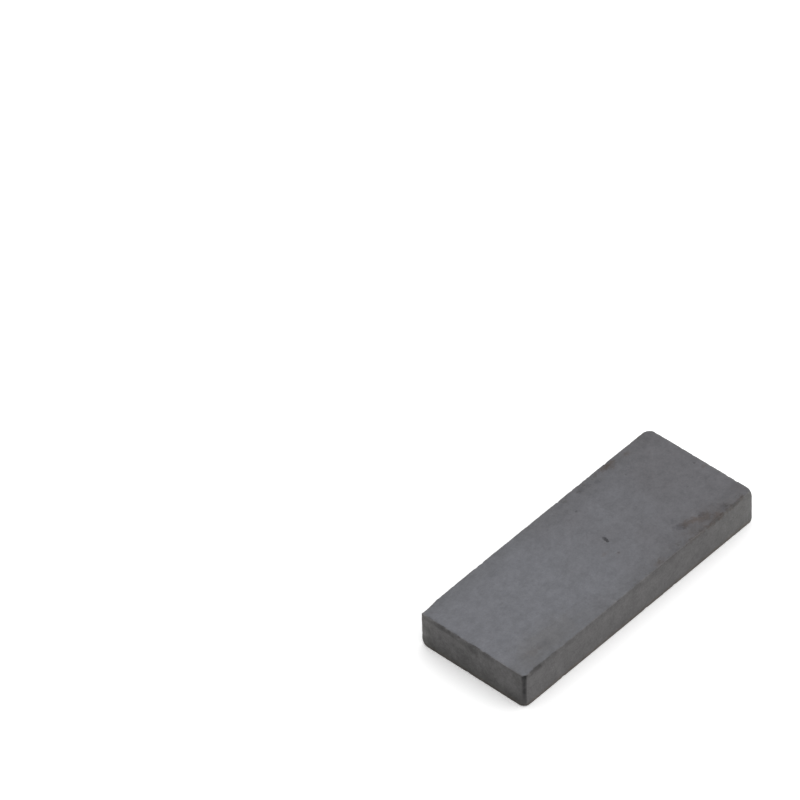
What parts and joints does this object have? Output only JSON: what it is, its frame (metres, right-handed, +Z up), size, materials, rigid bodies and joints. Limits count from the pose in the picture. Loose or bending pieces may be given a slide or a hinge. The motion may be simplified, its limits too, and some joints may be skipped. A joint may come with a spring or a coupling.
{
  "type": "block magnet",
  "caption": "Flat rectangular ferrite block magnet with bevelled and rounded corners, a chipped upper rim, a shallow spall and small pits.",
  "frame": {"origin": "middle of the underside, which is the lower pole face the block rests on", "axes": "+X along the length towards the end whose rim has no chips, +Y across the width towards the unchipped long side, +Z up out of the upper pole face"},
  "size_m": [0.04, 0.016, 0.005],
  "materials": {
    "sintered_ferrite": "ground matte grey ferrite with darker chips and faint brown stains"
  },
  "bodies": {
    "root": {"ferrite_block": "sintered_ferrite"}
  },
  "joints": []
}
